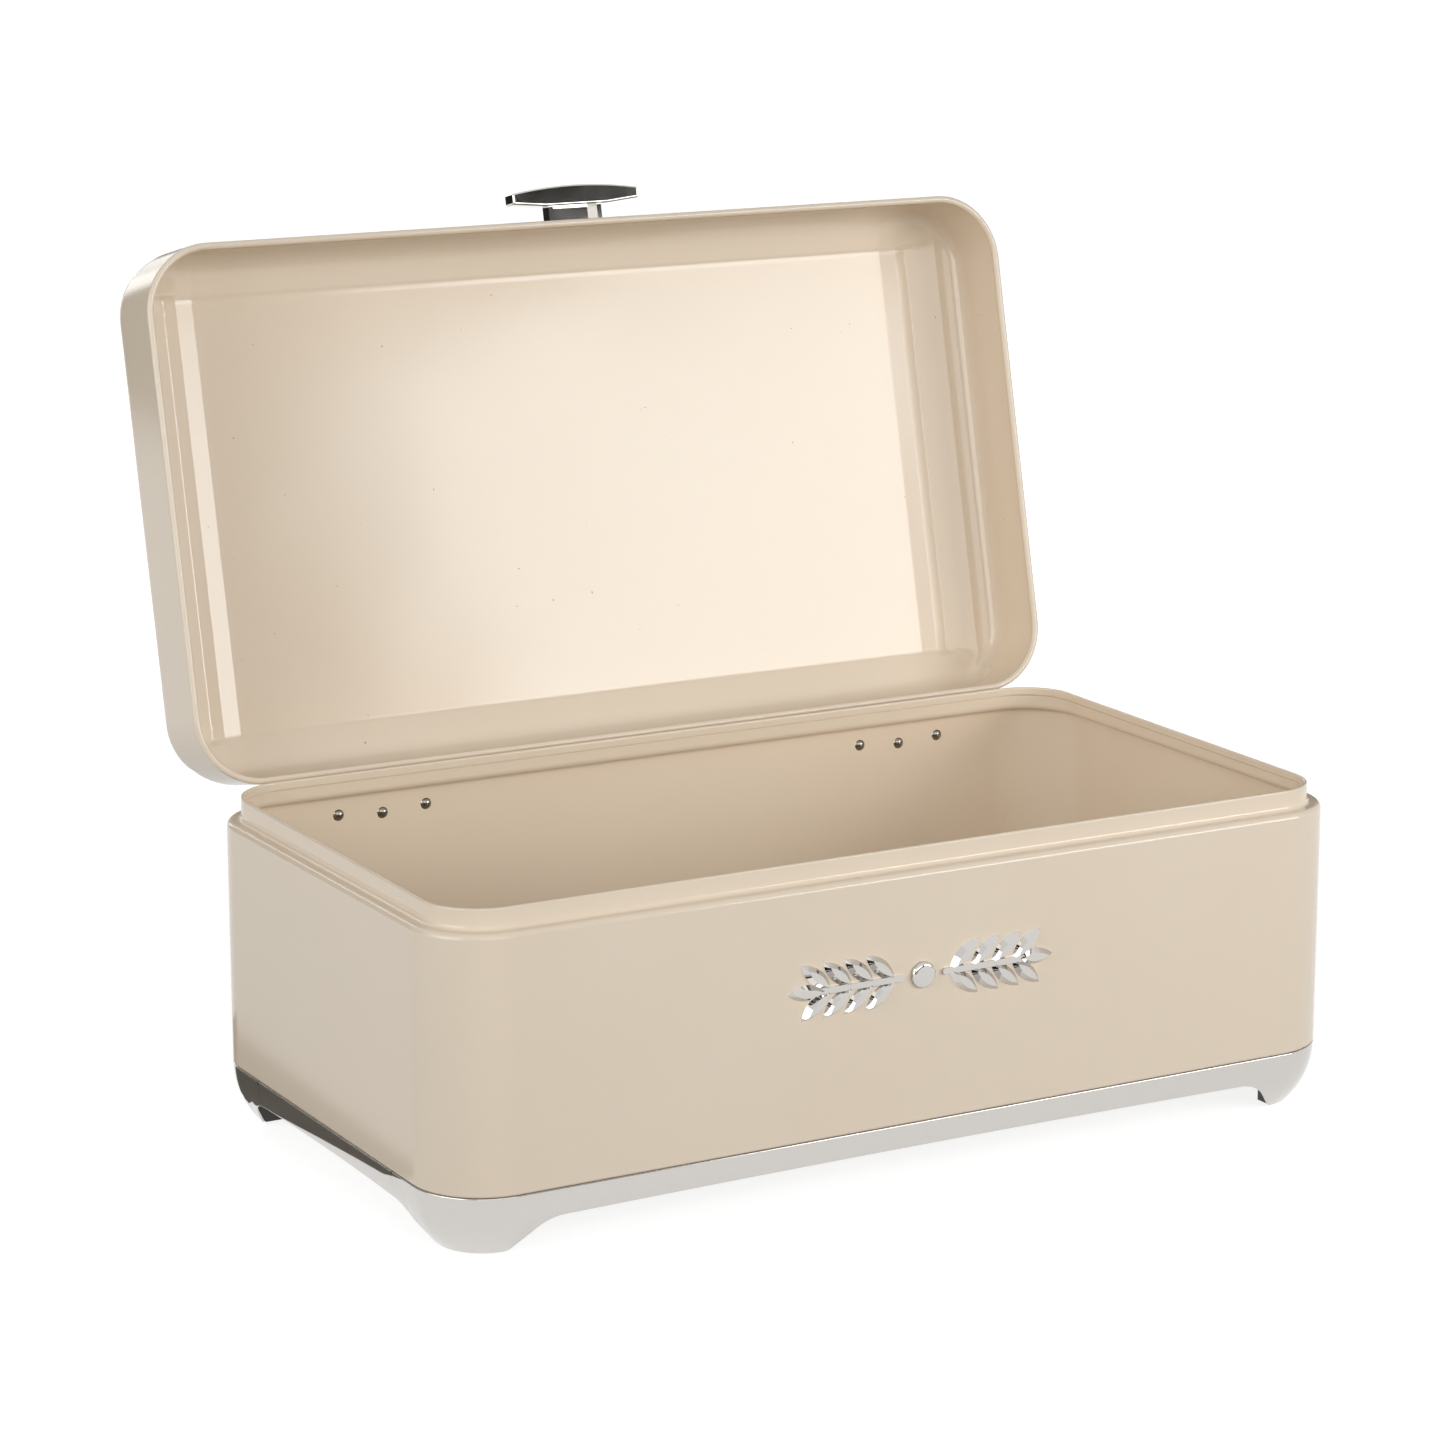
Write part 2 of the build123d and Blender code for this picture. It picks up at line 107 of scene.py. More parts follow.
# How finely the curves are drawn
CORNER_STEPS = 16
BEND_STEPS = 8
BEAD_STEPS = 14
FADE_STEPS = 4
TOP_CORNER_STEPS = 12
ARCH_STEPS = 12
SKIRT_ROWS = 9
SHARP_ANGLE = math.radians(40)

# The lid hinge, and the angle between the shut lid and the lid at rest
HINGE = frame["joints"][0]
HINGE_AT = Vector(HINGE["pos_m"])
OPEN_ANGLE = math.radians(HINGE["range_deg"][1])
SHUT_TO_OPEN = (
    Matrix.Translation(HINGE_AT)
    @ Matrix.Rotation(-OPEN_ANGLE, 4, "X")
    @ Matrix.Translation(-HINGE_AT)
)

# The studio: light from all round, what the floor adds where it is seen, and its cards, painted reflections that
# only mirror-like surfaces show
WORLD_LIGHT = 0.14
FLOOR_GLOW = 0.84
FLOOR_REACH = 14.0
# Tones of the painted reflections: cards that only mirror-like surfaces show
PAINTED_REFLECTION_TONE = "#4A4844"
NEAR_PAINTED_REFLECTION_TONE = "#8A8680"
LAMP_AIM = (0.0, 0.03, 0.15)

# The photograph's camera
CAMERA_AT = (-0.8732, -1.4996, 0.5747)
CAMERA_TURN = 29.41
CAMERA_DOWN = 13.2
CAMERA_LENS = 107.4
SENSOR_WIDTH = 36.0


def linear(hex_colour):
    """An sRGB hex colour as the linear RGBA that sockets take."""
    values = [int(hex_colour[i : i + 2], 16) / 255 for i in (1, 3, 5)]
    return [v / 12.92 if v <= 0.04045 else ((v + 0.055) / 1.055) ** 2.4 for v in values] + [1.0]


def add(tree, kind, inputs=None, **settings):
    """Adds a node: its settings by name, and its inputs as values or as other nodes' outputs."""
    made = tree.nodes.new(kind)
    for name, value in settings.items():
        setattr(made, name, value)
    for socket, value in (inputs or {}).items():
        if isinstance(value, bpy.types.NodeSocket):
            tree.links.new(value, made.inputs[socket])
        else:
            made.inputs[socket].default_value = value
    return made


def new_material(name):
    """An empty node material with its output, ready for a surface."""
    material = bpy.data.materials.new(name)
    material.use_nodes = True
    tree = material.node_tree
    tree.nodes.clear()
    return material, tree, tree.nodes.new("ShaderNodeOutputMaterial")


def per_metre(millimetres):
    """Texture scale that repeats about once in a length given in millimetres."""
    return 1000.0 / millimetres


def baked_enamel(name, wave_mm, wave_height_mm, dusty):
    """Cream enamel sprayed and baked on pressed steel: a clear gloss with a fine orange peel
    and long shallow waves where the sheet is flat, and a few specks baked in where dusty."""
    material, tree, output = new_material(name)
    place = add(tree, "ShaderNodeTexCoord").outputs["Object"]
    cloud = add(
        tree, "ShaderNodeTexNoise", {"Vector": place, "Scale": per_metre(70), "Detail": 3.0}
    )
    tone = add(tree, "ShaderNodeMix", data_type="RGBA")
    tree.links.new(cloud.outputs["Fac"], tone.inputs["Factor"])
    tone.inputs["A"].default_value = linear("#E6D6C0")
    tone.inputs["B"].default_value = linear("#EADBC6")
    colour = tone.outputs["Result"]
    if dusty:
        dust = add(
            tree, "ShaderNodeTexNoise", {"Vector": place, "Scale": per_metre(3.0), "Detail": 1.0}
        )
        speck = add(
            tree,
            "ShaderNodeMapRange",
            {"Value": dust.outputs["Fac"], "From Min": 0.80, "From Max": 0.84},
        )
        worn = add(tree, "ShaderNodeMix", {"Factor": speck.outputs["Result"]}, data_type="RGBA")
        tree.links.new(colour, worn.inputs["A"])
        worn.inputs["B"].default_value = linear("#B3A086")
        colour = worn.outputs["Result"]
    peel = add(
        tree, "ShaderNodeTexNoise", {"Vector": place, "Scale": per_metre(1.6), "Detail": 2.0}
    )
    peel_bump = add(
        tree,
        "ShaderNodeBump",
        {"Height": peel.outputs["Fac"], "Distance": 0.003 * MM, "Strength": 1.0},
    )
    wave = add(
        tree, "ShaderNodeTexNoise", {"Vector": place, "Scale": per_metre(wave_mm), "Detail": 1.0}
    )
    wave_bump = add(
        tree,
        "ShaderNodeBump",
        {
            "Height": wave.outputs["Fac"],
            "Distance": wave_height_mm * MM,
            "Strength": 1.0,
            "Normal": peel_bump.outputs["Normal"],
        },
    )
    surface = add(
        tree,
        "ShaderNodeBsdfPrincipled",
        {
            "Base Color": colour,
            "Roughness": 0.15,
            "IOR": 1.5,
            "Normal": wave_bump.outputs["Normal"],
        },
    )
    tree.links.new(surface.outputs["BSDF"], output.inputs["Surface"])
    return material


def plated_metal(name, hex_colour, roughness, wave_mm, wave_height_mm):
    """Bright plate over pressed or cast metal: mirror-like, a little wavy, finely wiped."""
    material, tree, output = new_material(name)
    place = add(tree, "ShaderNodeTexCoord").outputs["Object"]
    wipes = add(
        tree, "ShaderNodeTexNoise", {"Vector": place, "Scale": per_metre(12), "Detail": 4.0}
    )
    rough = add(
        tree,
        "ShaderNodeMapRange",
        {"Value": wipes.outputs["Fac"], "To Min": roughness * 0.7, "To Max": roughness * 1.4},
    )
    wave = add(
        tree, "ShaderNodeTexNoise", {"Vector": place, "Scale": per_metre(wave_mm), "Detail": 1.0}
    )
    bump = add(
        tree,
        "ShaderNodeBump",
        {"Height": wave.outputs["Fac"], "Distance": wave_height_mm * MM, "Strength": 1.0},
    )
    surface = add(
        tree,
        "ShaderNodeBsdfPrincipled",
        {
            "Base Color": linear(hex_colour),
            "Metallic": 1.0,
            "Roughness": rough.outputs["Result"],
            "Normal": bump.outputs["Normal"],
        },
    )
    tree.links.new(surface.outputs["BSDF"], output.inputs["Surface"])
    return material


def moulded_plastic(name):
    """Dark moulded polyethylene, with the faint grain of its mould."""
    material, tree, output = new_material(name)
    place = add(tree, "ShaderNodeTexCoord").outputs["Object"]
    grain = add(
        tree, "ShaderNodeTexNoise", {"Vector": place, "Scale": per_metre(0.8), "Detail": 2.0}
    )
    bump = add(
        tree,
        "ShaderNodeBump",
        {"Height": grain.outputs["Fac"], "Distance": 0.02 * MM, "Strength": 1.0},
    )
    surface = add(
        tree,
        "ShaderNodeBsdfPrincipled",
        {"Base Color": linear("#6E6C68"), "Roughness": 0.5, "Normal": bump.outputs["Normal"]},
    )
    tree.links.new(surface.outputs["BSDF"], output.inputs["Surface"])
    return material


ENAMEL = baked_enamel("cream_baked_enamel", 140, 0.25, False)
LID_ENAMEL = baked_enamel("cream_baked_enamel_lid", 110, 0.9, True)
CHROME = plated_metal("bright_chrome_plate", "#C8C5C1", 0.06, 25, 0.04)
ZINC = plated_metal("satin_zinc_plate", "#A9A9A6", 0.32, 8, 0.02)
RIVET = plated_metal("burnished_steel_rivet", "#8C8880", 0.16, 3, 0.01)
GLIDE = moulded_plastic("moulded_polyethylene")


def point_camera():
    """The photograph's viewpoint."""
    data = bpy.data.cameras.new("camera")
    data.lens = CAMERA_LENS
    data.sensor_width = SENSOR_WIDTH
    data.clip_start = 0.05
    data.clip_end = 100.0
    camera = bpy.data.objects.new("camera", data)
    camera.location = CAMERA_AT
    camera.rotation_euler = Euler(
        (math.radians(90 - CAMERA_DOWN), 0, math.radians(-CAMERA_TURN)), "XYZ"
    )
    bpy.context.collection.objects.link(camera)
    bpy.context.scene.camera = camera


def area_light(name, at, towards, size, power, colour="#FFFFFF"):
    """A soft rectangular lamp aimed at a point."""
    data = bpy.data.lights.new(name, "AREA")
    data.shape = "RECTANGLE"
    data.size, data.size_y = size
    data.energy = power
    data.color = linear(colour)[:3]
    lamp = bpy.data.objects.new(name, data)
    lamp.location = at
    aim = Vector(towards) - Vector(at)
    lamp.rotation_euler = aim.to_track_quat("-Z", "Y").to_euler()
    bpy.context.collection.objects.link(lamp)


def seen_directly(tree):
    """1 for what the camera sees or metal and glass show, 0 for what only gives light."""
    path = add(tree, "ShaderNodeLightPath")
    seen = add(
        tree,
        "ShaderNodeMath",
        {0: path.outputs["Is Camera Ray"], 1: path.outputs["Is Glossy Ray"]},
        operation="MAXIMUM",
    )
    seen = add(
        tree,
        "ShaderNodeMath",
        {0: seen.outputs["Value"], 1: path.outputs["Is Transmission Ray"]},
        operation="MAXIMUM",
    )
    return seen.outputs["Value"]


def stage_sheet(name, corners, material):
    """A flat sheet of the studio."""
    mesh = bpy.data.meshes.new(name)
    mesh.from_pydata(corners, [], [tuple(range(len(corners)))])
    mesh.materials.append(material)
    sheet = bpy.data.objects.new(name, mesh)
    bpy.context.collection.objects.link(sheet)
    return sheet


def painted_reflection_card(name, tone, corners):
    """A painted reflection: a dark card that only mirror-like surfaces show; it casts no shadow and lights
    nothing.
    """
    material, tree, output = new_material(name + "_matte")
    matte = add(tree, "ShaderNodeBsdfDiffuse", {"Color": linear(tone)})
    tree.links.new(matte.outputs["BSDF"], output.inputs["Surface"])
    card = stage_sheet(name, corners, material)
    card.visible_camera = False
    card.visible_diffuse = False
    card.visible_shadow = False
    card.visible_transmission = False


def upright(left, right, low, high):
    """Corners of an upright card between two points of the plan."""
    return [(*left, low), (*right, low), (*right, high), (*left, high)]


def lying(height, *plan):
    """Corners of a sheet that lies at one height, from its plan."""
    return [(x, y, height) for x, y in plan]


def studio():
    """A white floor and surround that keep the object's shadow, soft lamps, and dark cards that are painted
    reflections, shown only by mirror-like surfaces.
    """
    scene = bpy.context.scene
    scene.view_settings.view_transform = "Standard"
    world = bpy.data.worlds.new("studio")
    scene.world = world
    world.use_nodes = True
    tree = world.node_tree
    tree.nodes.clear()
    seen = seen_directly(tree)
    level = add(tree, "ShaderNodeMapRange", {"Value": seen, "To Min": WORLD_LIGHT, "To Max": 1.0})
    sky = add(
        tree,
        "ShaderNodeBackground",
        {"Color": [1, 1, 1, 1], "Strength": level.outputs["Result"]},
    )
    output = add(tree, "ShaderNodeOutputWorld")
    tree.links.new(sky.outputs["Background"], output.inputs["Surface"])

    material, tree, output = new_material("white_studio_floor")
    seen = seen_directly(tree)
    place = add(tree, "ShaderNodeTexCoord").outputs["Object"]
    away = add(tree, "ShaderNodeVectorMath", {0: place}, operation="LENGTH").outputs["Value"]
    glow = add(
        tree,
        "ShaderNodeMapRange",
        {"Value": away, "From Min": 0.3, "From Max": 1.0, "To Min": FLOOR_GLOW, "To Max": 1.0},
        interpolation_type="SMOOTHSTEP",
    )
    lift = add(tree, "ShaderNodeMath", {0: seen, 1: glow.outputs["Result"]}, operation="MULTIPLY")
    matte = add(tree, "ShaderNodeBsdfDiffuse", {"Color": linear("#A2A2A2")})
    light = add(
        tree, "ShaderNodeEmission", {"Color": [1, 1, 1, 1], "Strength": lift.outputs["Value"]}
    )
    surface = add(
        tree, "ShaderNodeAddShader", {0: matte.outputs["BSDF"], 1: light.outputs["Emission"]}
    )
    tree.links.new(surface.outputs["Shader"], output.inputs["Surface"])
    reach = FLOOR_REACH
    corners = lying(0, (-reach, -reach), (reach, -reach), (reach, reach), (-reach, reach))
    stage_sheet("studio_floor", corners, material)

    # Painted reflections: dark cards that only mirror-like surfaces show, in front of the object and behind it
    painted_reflection_card("front_card", PAINTED_REFLECTION_TONE, upright((-3.5, -3.2), (3.5, -3.2), 0.2, 2.6))
    painted_reflection_card(
        "front_floor_card",
        PAINTED_REFLECTION_TONE,
        lying(0.002, (-3.5, -3.2), (3.5, -3.2), (3.5, -0.9), (-3.5, -0.9)),
    )
    # Painted reflection: a grey sheet lying beside the plinth's left side, so that its chrome shows a darker floor
    # there
    painted_reflection_card(
        "left_card",
        NEAR_PAINTED_REFLECTION_TONE,
        lying(
            0.001, (-0.228, -0.01), (-0.25, -0.01), (-0.262, 0.24), (-0.2, 0.24), (-0.206, 0.11)
        ),
    )
    painted_reflection_card("rear_left_card", PAINTED_REFLECTION_TONE, upright((-2.2, 0.5), (-0.5, 2.1), 0.0, 1.2))
    painted_reflection_card("rear_right_card", PAINTED_REFLECTION_TONE, upright((-0.1, 3.2), (2.6, 1.7), 0.2, 1.6))

    area_light("overhead_softbox", (0.1, -0.2, 2.2), LAMP_AIM, (1.8, 1.4), 1)
    area_light("front_softbox", (-0.3, -1.8, 0.9), LAMP_AIM, (2.0, 0.9), 13)
    area_light("right_softbox", (1.05, -1.32, 0.55), LAMP_AIM, (0.8, 0.6), 11.5)
    area_light("left_softbox", (-1.9, -0.6, 0.8), LAMP_AIM, (1.2, 1.2), 13.5)
    area_light("rear_softbox", (0.4, 2.1, 1.0), LAMP_AIM, (2.2, 1.2), 13)
    area_light("rear_left_softbox", (-1.8, 0.25, 0.75), LAMP_AIM, (0.9, 1.1), 5)


def corner_ring(half_x, half_y, radius, steps):
    """Points round a rounded rectangle, anticlockwise from the right end of the front."""
    ring = []
    for turn, (sx, sy) in enumerate(((1, -1), (1, 1), (-1, 1), (-1, -1))):
        for step in range(steps + 1):
            angle = math.radians(-90 + 90 * turn + 90 * step / steps)
            x = sx * (half_x - radius) + radius * math.cos(angle)
            y = sy * (half_y - radius) + radius * math.sin(angle)
            ring.append((x, y))
    return ring


def rounded(points, radii, steps=6):
    """A polyline with its inner corners rounded: one radius for each point but the ends."""
    made = [Vector(points[0])]
    for before, here, after, radius in zip(points, points[1:], points[2:], radii):
        before, here, after = Vector(before), Vector(here), Vector(after)
        back = (before - here).normalized()
        ahead = (after - here).normalized()
        if radius <= 0 or back.angle(ahead) > math.pi - 1e-4:
            made.append(here)
            continue
        half = back.angle(ahead) / 2
        reach = radius / math.tan(half)
        centre = here + (back + ahead).normalized() * (radius / math.sin(half))
        start = here + back * reach - centre
        end = here + ahead * reach - centre
        turn = start.angle_signed(end)
        for step in range(steps + 1):
            angle = -turn * step / steps
            made.append(centre + Matrix.Rotation(angle, 2) @ start)
    made.append(Vector(points[-1]))
    return made


def link_mesh(name, vertices, faces, material, body):
    """A smooth-shaded mesh piece, in metres, with its material, on its body."""
    mesh = bpy.data.meshes.new(name)
    mesh.from_pydata([tuple(Vector(v) * MM) for v in vertices], [], faces)
    mesh.update()
    mesh.materials.append(material)
    piece = bpy.data.objects.new(name, mesh)
    bpy.context.collection.objects.link(piece)
    tidy = bmesh.new()
    tidy.from_mesh(mesh)
    bmesh.ops.recalc_face_normals(tidy, faces=tidy.faces)
    tidy.to_mesh(mesh)
    tidy.free()
    mesh.shade_smooth()
    mesh.set_sharp_from_angle(angle=SHARP_ANGLE)
    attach(piece, body)
    return piece


def apply_modifiers(piece):
    """Makes the piece's modifiers part of its mesh."""
    graph = bpy.context.evaluated_depsgraph_get()
    mesh = bpy.data.meshes.new_from_object(piece.evaluated_get(graph))
    piece.modifiers.clear()
    piece.data = mesh


def keep_flats_flat(piece):
    """Weights the shading normals by face area, so that flats beside bends stay flat."""
    piece.modifiers.new("even_normals", "WEIGHTED_NORMAL").keep_sharp = True
    apply_modifiers(piece)


def swept_wall(name, profile, material, body, steps=CORNER_STEPS):
    """A closed section of (inset, height) points carried round the box's plan."""
    vertices = []
    for inset, z in profile:
        ring = corner_ring(LENGTH / 2 - inset, DEPTH / 2 - inset, CORNER_R - inset, steps)
        vertices += [(x, y, z) for x, y in ring]
    around = 4 * (steps + 1)
    count = len(profile)
    faces = []
    for p in range(count):
        for r in range(around):
            a = p * around + r
            b = p * around + (r + 1) % around
            c = (p + 1) % count * around + (r + 1) % around
            d = (p + 1) % count * around + r
            faces.append((a, b, c, d))
    piece = link_mesh(name, vertices, faces, material, body)
    keep_flats_flat(piece)
    return piece


def dress_body():
    """The body wall: turned-in foot, wall, shoulder, collar and a folded hem with its seam."""
    outside = rounded(
        [
            (FLANGE_W, SEAM_Z),
            (0, SEAM_Z),
            (0, SHOULDER_Z),
            (COLLAR_INSET, SHOULDER_Z),
            (COLLAR_INSET, COLLAR_TOP_Z),
            (COLLAR_INSET + 2 * SHEET, COLLAR_TOP_Z),
            (COLLAR_INSET + 2 * SHEET, COLLAR_TOP_Z - HEM_H),
        ],
        (FOOT_R, SHOULDER_R, COLLAR_R, HEM_FOLD_R, HEM_FOLD_R),
    )
    seam_inset = COLLAR_INSET + SHEET / 2
    inside = rounded(
        [
            (COLLAR_INSET + 2 * SHEET, COLLAR_TOP_Z - HEM_H),
            (seam_inset, COLLAR_TOP_Z - HEM_H),
            (seam_inset, COLLAR_TOP_Z - HEM_H - HEM_SEAM),
            (COLLAR_INSET + SHEET, COLLAR_TOP_Z - HEM_H - HEM_SEAM),
            (COLLAR_INSET + SHEET, SHOULDER_Z - SHEET),
            (SHEET, SHOULDER_Z - SHEET),
            (SHEET, SEAM_Z + SHEET),
            (FLANGE_W, SEAM_Z + SHEET),
        ],
        (SEAM_CREASE_R,) * 3 + (COLLAR_R + SHEET, SHOULDER_R - SHEET, FOOT_R - SHEET),
    )
    wall = swept_wall("body_wall_enamelled", outside + inside[1:], ENAMEL, "base")
    for vertex in wall.data.vertices:
        up = (vertex.co.z / MM - SHOULDER_Z) / (COLLAR_TOP_Z - SHOULDER_Z)
        back = (vertex.co.y / MM - DEPTH / 4) / (DEPTH / 4 - CORNER_R / 2)
        vertex.co.z += REAR_RISE * MM * eased(up) * eased(back)
    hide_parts("body_wall")


def eased(share):
    """A share held between 0 and 1, with a soft start and end."""
    share = min(max(share, 0.0), 1.0)
    return share * share * (3 - 2 * share)


def height_at(profile, distance):
    """Height of a profile of (distance, height) points at one distance."""
    for before, here in zip(profile, profile[1:]):
        if distance <= here.x:
            share = (distance - before.x) / max(here.x - before.x, 1e-9)
            return before.y + (here.y - before.y) * share
    return profile[-1].y


def drawn_in(end_in, side_in, skin):
    """Insets of a point of the lid's top, moved so that the rows and columns turn the corner in
    arcs, from the full round at the wall to almost square inside."""
    p, q = CORNER_R - end_in, CORNER_R - side_in
    if p <= 0 or q <= 0:
        return end_in, side_in
    wide, narrow = max(p, q), min(p, q)
    radius = max(CORNER_R - skin - ROUND_FALL * (CORNER_R - wide - skin), SQUARE_R)
    if narrow > wide - radius:
        turn = math.pi / 4 * (narrow - wide + radius) / radius
        centre = wide - radius
        wide, narrow = centre + radius * math.cos(turn), centre + radius * math.sin(turn)
    p, q = (wide, narrow) if p >= q else (narrow, wide)
    return CORNER_R - p, CORNER_R - q


def both(end_rise, side_rise):
    """Two rises from 0 to 1 joined: each alone where the other is 1, and soft where they meet."""
    if min(end_rise, side_rise) <= 1e-6:
        return 0.0
    return 1 / math.sqrt(1 / end_rise**2 + 1 / side_rise**2 - 1)


def lid_grid(skin):
    """One skin of the lid above its walls, as rows of points from front to rear: terraces that
    end square at the creases of the front and rear bends."""
    top = LID_H - skin
    low, high = top - TERRACE_LOW, top - TERRACE_HIGH
    end = rounded(
        [
            (skin, 2 * RIM_BEAD_R),
            (skin, low),
            (LOW_TREAD_END, low),
            (LOW_SLOPE_END, high),
            (HIGH_TREAD_END, high),
            (HIGH_SLOPE_END, top),
            (HIGH_SLOPE_END + TOP_RUN, top),
        ],
        (END_BEND_R - skin, *TERRACE_RADII),
        BEND_STEPS,
    )[1:]
    side = rounded(
        [
            (skin, 2 * RIM_BEAD_R),
            (skin, top - (CREASE_IN - skin) * BAND_SLOPE),
            (CREASE_IN, top),
            (CREASE_IN + TOP_RUN, top),
        ],
        (SIDE_BEND_R - skin, CREASE_R),
        BEND_STEPS,
    )[1:]
    start = side[0].y
    fade = [CREASE_IN - RIB_FADE * (1 - step / FADE_STEPS) for step in range(FADE_STEPS + 1)]
    round_corner = [
        END_BEND_R + (CORNER_R - END_BEND_R) * step / TOP_CORNER_STEPS
        for step in range(1, TOP_CORNER_STEPS + 1)
    ]
    ends = sorted([point.x for point in end] + round_corner)
    ends = [(-1, inset) for inset in ends] + [(1, inset) for inset in reversed(ends)]
    sides = sorted([point.x for point in side] + fade + round_corner)
    sides = [(-1, inset) for inset in sides] + [(1, inset) for inset in reversed(sides)]
    rows = []
    for sy, side_in in sides:
        rise = (height_at(side, side_in) - start) / (top - start)
        ribbed = eased((side_in - CREASE_IN + RIB_FADE) / RIB_FADE)
        row = []
        for sx, end_in in ends:
            terrace = height_at(end, end_in)
            ramp = low + TERRACE_LOW * (end_in - END_BEND_R) / (HIGH_SLOPE_END - END_BEND_R)
            plain = min(terrace, max(ramp, low)) if end_in > END_BEND_R else terrace
            end_rise = (plain + (terrace - plain) * ribbed - start) / (top - start)
            height = start + (top - start) * both(end_rise, rise)
            x_in, y_in = drawn_in(end_in, side_in, skin)
            row.append((sx * (LENGTH / 2 - x_in), sy * (DEPTH / 2 - y_in), RIM_Z + height))
        rows.append(row)
    return rows


def grid_rim(columns, rows, first):
    """Numbers of a grid's border points, anticlockwise, for a grid numbered from first."""
    border = [(0, c) for c in range(columns)] + [(r, columns - 1) for r in range(1, rows)]
    border += [(rows - 1, c) for c in range(columns - 2, -1, -1)]
    border += [(r, 0) for r in range(rows - 2, 0, -1)]
    return [first + r * columns + c for r, c in border]


def dress_lid():
    """The lid: one pressed sheet with softened terraces at its ends and a rolled rim."""
    inner, outer = lid_grid(SHEET), lid_grid(LEAF_FIT)
    rows, columns = len(inner), len(inner[0])
    vertices = [point for row in inner + outer for point in row]
    faces = []
    for first in (0, rows * columns):
        for r in range(rows - 1):
            for c in range(columns - 1):
                a = first + r * columns + c
                faces.append((a, a + 1, a + columns + 1, a + columns))
    inner_rim = grid_rim(columns, rows, 0)
    outer_rim = grid_rim(columns, rows, rows * columns)
    rings = [inner_rim]
    for step in range(BEAD_STEPS + 1):
        angle = math.radians(BEAD_START - BEAD_TURN * step / BEAD_STEPS)
        reach = CORNER_R - LEAF_FIT - RIM_BEAD_R - RIM_BEAD_R * math.cos(angle)
        rings.append([len(vertices) + k for k in range(len(outer_rim))])
        for number in outer_rim:
            x, y, _ = vertices[number]
            centre = Vector((
                min(max(x, CORNER_R - LENGTH / 2), LENGTH / 2 - CORNER_R),
                min(max(y, CORNER_R - DEPTH / 2), DEPTH / 2 - CORNER_R),
            ))
            spot = centre + (Vector((x, y)) - centre).normalized() * reach
            vertices.append((spot.x, spot.y, RIM_Z + RIM_BEAD_R + RIM_BEAD_R * math.sin(angle)))
    rings.append(outer_rim)
    around = len(outer_rim)
    for before, here in zip(rings, rings[1:]):
        for k in range(around):
            n = (k + 1) % around
            faces.append((before[k], before[n], here[n], here[k]))
    lid = link_mesh("lid_shell_enamelled", vertices, faces, LID_ENAMEL, "lid")
    lid.data.transform(SHUT_TO_OPEN)
    keep_flats_flat(lid)
    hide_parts("lid_shell")


def plinth_inset(z, within=0.0):
    """Inset of the plinth's curved face, or of a face within it, at one height."""
    chord = math.hypot(PLINTH_TOE_IN, SEAM_Z)
    to_centre = math.sqrt(PLINTH_R**2 - (chord / 2) ** 2)
    centre_in = PLINTH_TOE_IN / 2 + to_centre * SEAM_Z / chord
    centre_z = SEAM_Z / 2 + to_centre * PLINTH_TOE_IN / chord
    return centre_in - math.sqrt((PLINTH_R - within) ** 2 - (z - centre_z) ** 2)


def arch_line(half_span, crown):
    """Lower edge of one side of the plinth, as (distance, height) from the middle outwards."""
    points = []
    half_arch = half_span - FLANK_RUN
    for step in range(ARCH_STEPS + 1):
        share = step / ARCH_STEPS
        points.append((half_arch * share, ARCH_RISE + crown * (1 - share**2)))
    points += [(half_span, TOE_LIFT), (half_span + TOE_R, TOE_LIFT)]
    radii = [0.0] * (ARCH_STEPS - 1) + [FLANK_R, TOE_R]
    return rounded(points, radii, BEND_STEPS)


def plinth_column(low):
    """A closed section of the plinth's sheet, down to one height, as (inset, height) points."""
    top = SEAM_Z - PLINTH_EDGE_R
    half = SHEET / 2
    section = [(FLANGE_W, SEAM_Z), (FLANGE_W / 2, SEAM_Z)]
    for turn in (0, 30, 60, 90):
        angle = math.radians(turn)
        shift = plinth_inset(top) + PLINTH_EDGE_R
        inset = shift - PLINTH_EDGE_R * math.sin(angle)
        section.append((inset, top + PLINTH_EDGE_R * math.cos(angle)))
    low_mid = low + half
    for row in range(1, SKIRT_ROWS + 1):
        z = top + (low_mid - top) * row / SKIRT_ROWS
        section.append((plinth_inset(z), z))
    middle = (plinth_inset(low_mid) + plinth_inset(low_mid, SHEET)) / 2
    for turn in (45, 90, 135):
        angle = math.radians(turn)
        section.append((middle - half * math.cos(angle), low_mid - half * math.sin(angle)))
    for row in range(SKIRT_ROWS, -1, -1):
        z = top - SHEET + (low_mid - top + SHEET) * row / SKIRT_ROWS
        section.append((plinth_inset(z, SHEET), z))
    section += [(FLANGE_W / 2, SEAM_Z - SHEET), (FLANGE_W, SEAM_Z - SHEET)]
    return section


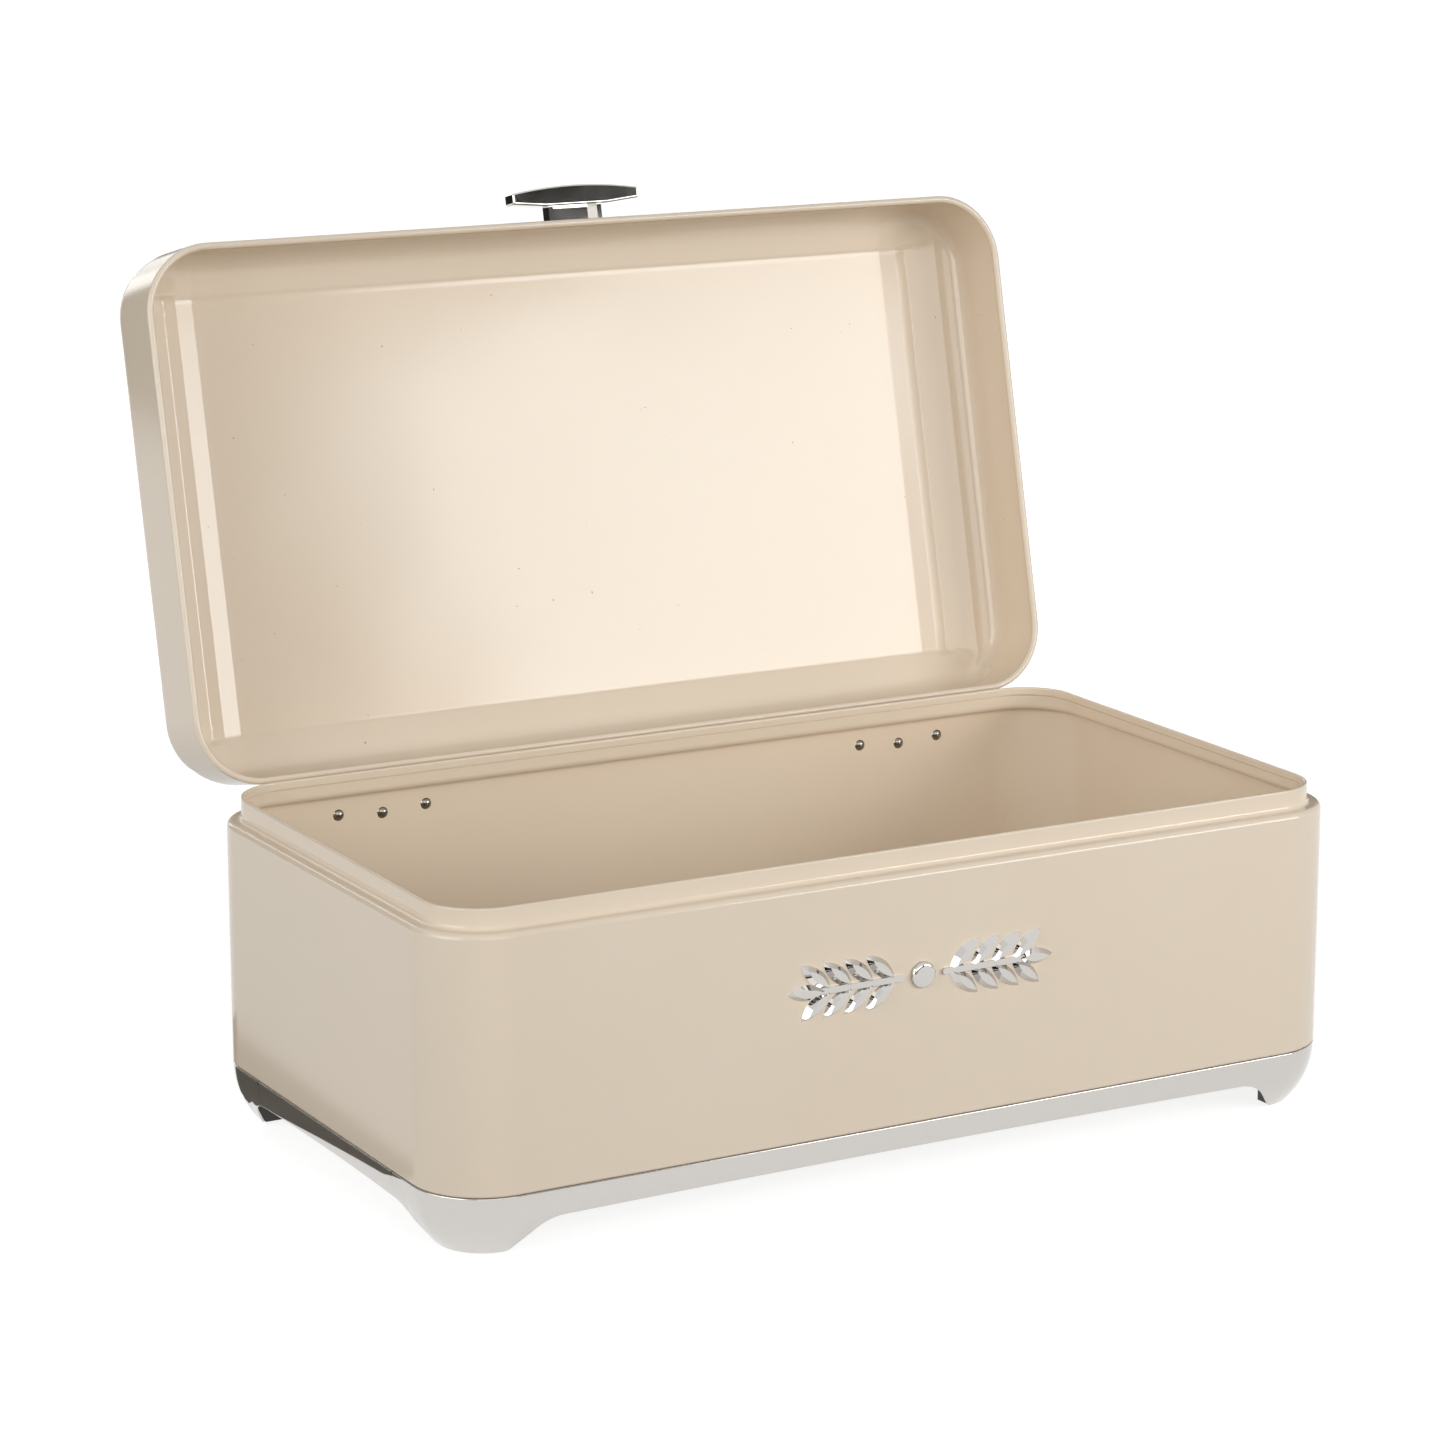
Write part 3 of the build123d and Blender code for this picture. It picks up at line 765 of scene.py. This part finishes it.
def dress_plinth():
    """The plated skirt: a curved sheet, arched on all sides, its edges a little rounded."""
    long_arch = arch_line(LENGTH / 2 - ARCH_MARGIN, FRONT_ARCH_CROWN)
    short_arch = arch_line(DEPTH / 2 - ARCH_MARGIN, SIDE_ARCH_CROWN)
    columns = []
    half_x = LENGTH / 2 - CORNER_R
    half_y = DEPTH / 2 - CORNER_R
    ways = [Vector((0, -1)), Vector((1, 0)), Vector((0, 1)), Vector((-1, 0))]
    for index, way in enumerate(ways):
        along = Vector((-way.y, way.x))
        arch, half_straight = (long_arch, half_x) if index % 2 == 0 else (short_arch, half_y)
        out = half_y if index % 2 == 0 else half_x
        places = [p for p in arch if p.x < half_straight - CORNER_NEAR]
        for p in [Vector((-p.x, p.y)) for p in reversed(places[1:])] + places:
            columns.append((along * p.x + way * out, way, p.y))
        toe = [p for p in arch if p.x >= half_straight - CORNER_NEAR]
        next_arch = short_arch if index % 2 == 0 else long_arch
        next_half = half_y if index % 2 == 0 else half_x
        next_toe = [p for p in next_arch if p.x >= next_half - CORNER_NEAR]
        start = math.atan2(way.y, way.x)
        centre = along * half_straight + way * out
        turns = [((p.x - half_straight) / CORNER_R, p.y) for p in toe]
        turns += [(math.radians(turn), TOE_LIFT) for turn in TOE_TURNS]
        turns += [(math.pi / 2 - (p.x - next_half) / CORNER_R, p.y) for p in reversed(next_toe)]
        for turn, low in turns:
            angle = start + turn
            columns.append((centre, Vector((math.cos(angle), math.sin(angle))), low))
    vertices = []
    for base, way, low in columns:
        for inset, z in plinth_column(low):
            spot = base + way * (CORNER_R - inset)
            vertices.append((spot.x, spot.y, z))
    count = len(plinth_column(TOE_LIFT))
    faces = []
    for c in range(len(columns)):
        after = (c + 1) % len(columns)
        for k in range(count):
            n = (k + 1) % count
            faces.append((c * count + k, c * count + n, after * count + n, after * count + k))
    plinth = link_mesh("plinth_plated", vertices, faces, CHROME, "base")
    keep_flats_flat(plinth)
    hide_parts("plinth")


def finish_cad_nodes():
    """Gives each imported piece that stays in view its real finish."""
    finishes = {
        "cream_enamel": ENAMEL,
        "chrome_plate": CHROME,
        "hinge_steel": ZINC,
        "rivet_steel": RIVET,
        "glide_plastic": GLIDE,
    }
    slots = {entry["node"]: entry["material_slot"] for entry in frame["record"]["subparts"]}
    for name, piece in frame["nodes"].items():
        for slot in piece.material_slots:
            slot.material = finishes[slots[name]]
    for slot in frame["nodes"]["lid_shell"].material_slots:
        slot.material = LID_ENAMEL


point_camera()
studio()
finish_cad_nodes()
dress_body()
dress_lid()
dress_plinth()
